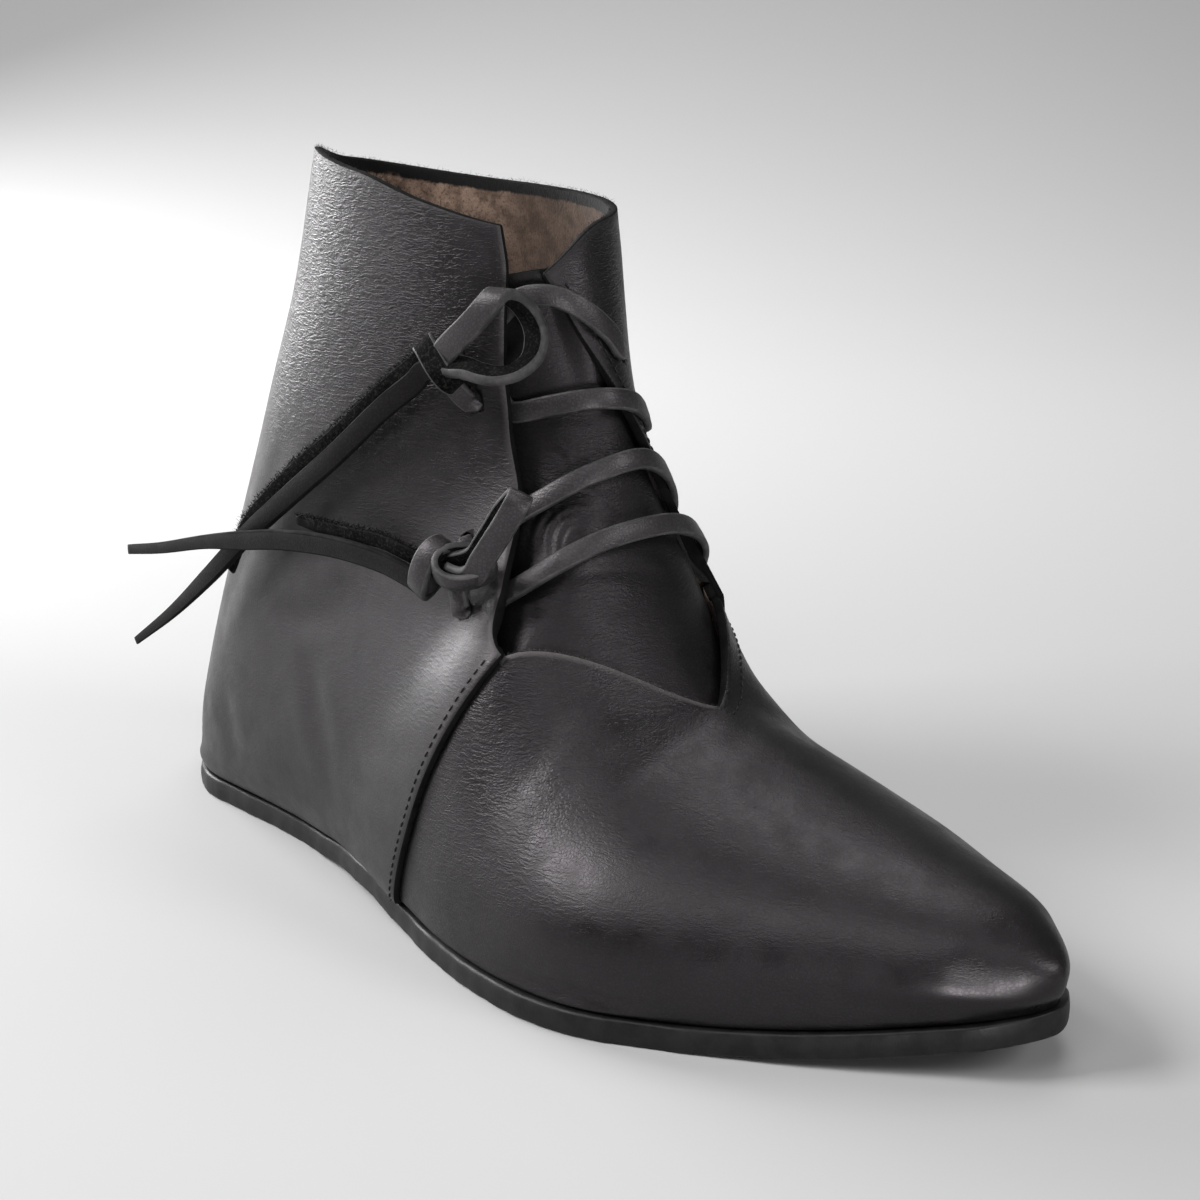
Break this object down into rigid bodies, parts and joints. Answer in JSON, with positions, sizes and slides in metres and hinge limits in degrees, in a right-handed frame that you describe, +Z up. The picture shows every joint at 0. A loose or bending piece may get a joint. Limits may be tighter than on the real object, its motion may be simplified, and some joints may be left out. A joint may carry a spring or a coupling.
{
  "type": "renaissance ankle boot",
  "caption": "Low-heeled black leather ankle boot for the right foot, with a pointed toe, an open front over a tongue, and flat thongs knotted on its outer side.",
  "frame": {"origin": "on the floor, under the middle of the boot's length and width", "axes": "+Z up, +Y towards the heel, so the toe points to -Y; +X towards the inner side of the foot, so the laces' knots are on the -X side"},
  "size_m": [0.104, 0.2917, 0.1819],
  "materials": {
    "sole_leather": "matte black stained edge",
    "insole_leather": "bare tan flesh side",
    "upper_leather": "satin black grain",
    "tongue_leather": "satin black grain",
    "lace_leather": "satin black thong"
  },
  "bodies": {
    "root": {"outsole": "sole_leather", "insole": "insole_leather", "upper": "upper_leather", "tongue": "tongue_leather", "upper_lace": "lace_leather", "lower_lace": "lace_leather", "upper_knot": "lace_leather", "lower_knot": "lace_leather", "upper_loop": "lace_leather", "lower_loop": "lace_leather", "upper_long_end": "lace_leather", "upper_short_end": "lace_leather", "lower_long_end": "lace_leather", "lower_short_end": "lace_leather"}
  },
  "joints": []
}
